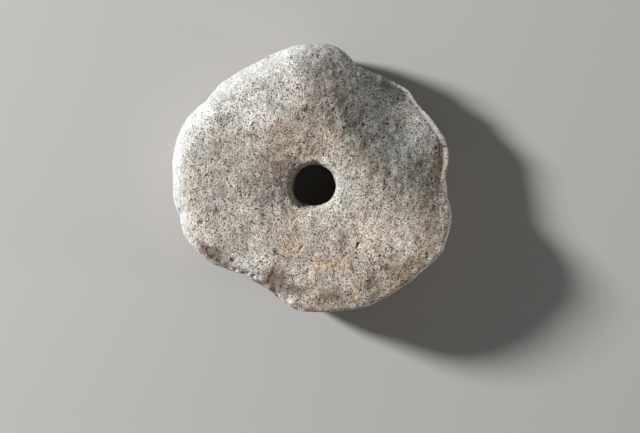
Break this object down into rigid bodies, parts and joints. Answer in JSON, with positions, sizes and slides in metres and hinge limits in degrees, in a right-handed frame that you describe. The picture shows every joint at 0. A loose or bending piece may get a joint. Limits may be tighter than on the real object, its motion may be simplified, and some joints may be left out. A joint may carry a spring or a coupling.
{
  "type": "pottery spindle whorl",
  "caption": "Thick hand-shaped clay disc with a flared spindle hole through it, its rim worn, notched and broken at one side.",
  "frame": {"origin": "under the middle of the outline's box, on the plane that the whorl lies on", "axes": "+Z along the spindle hole, out of the flared mouth; +X to the right and +Y up as the picture shows the upper face"},
  "size_m": [0.0542, 0.0518, 0.0126],
  "materials": {
    "fired_clay": "unglazed, coarse sandy fabric, matt, with grey and brown firing stains"
  },
  "bodies": {
    "root": {"spindle_whorl": "fired_clay"}
  },
  "joints": []
}
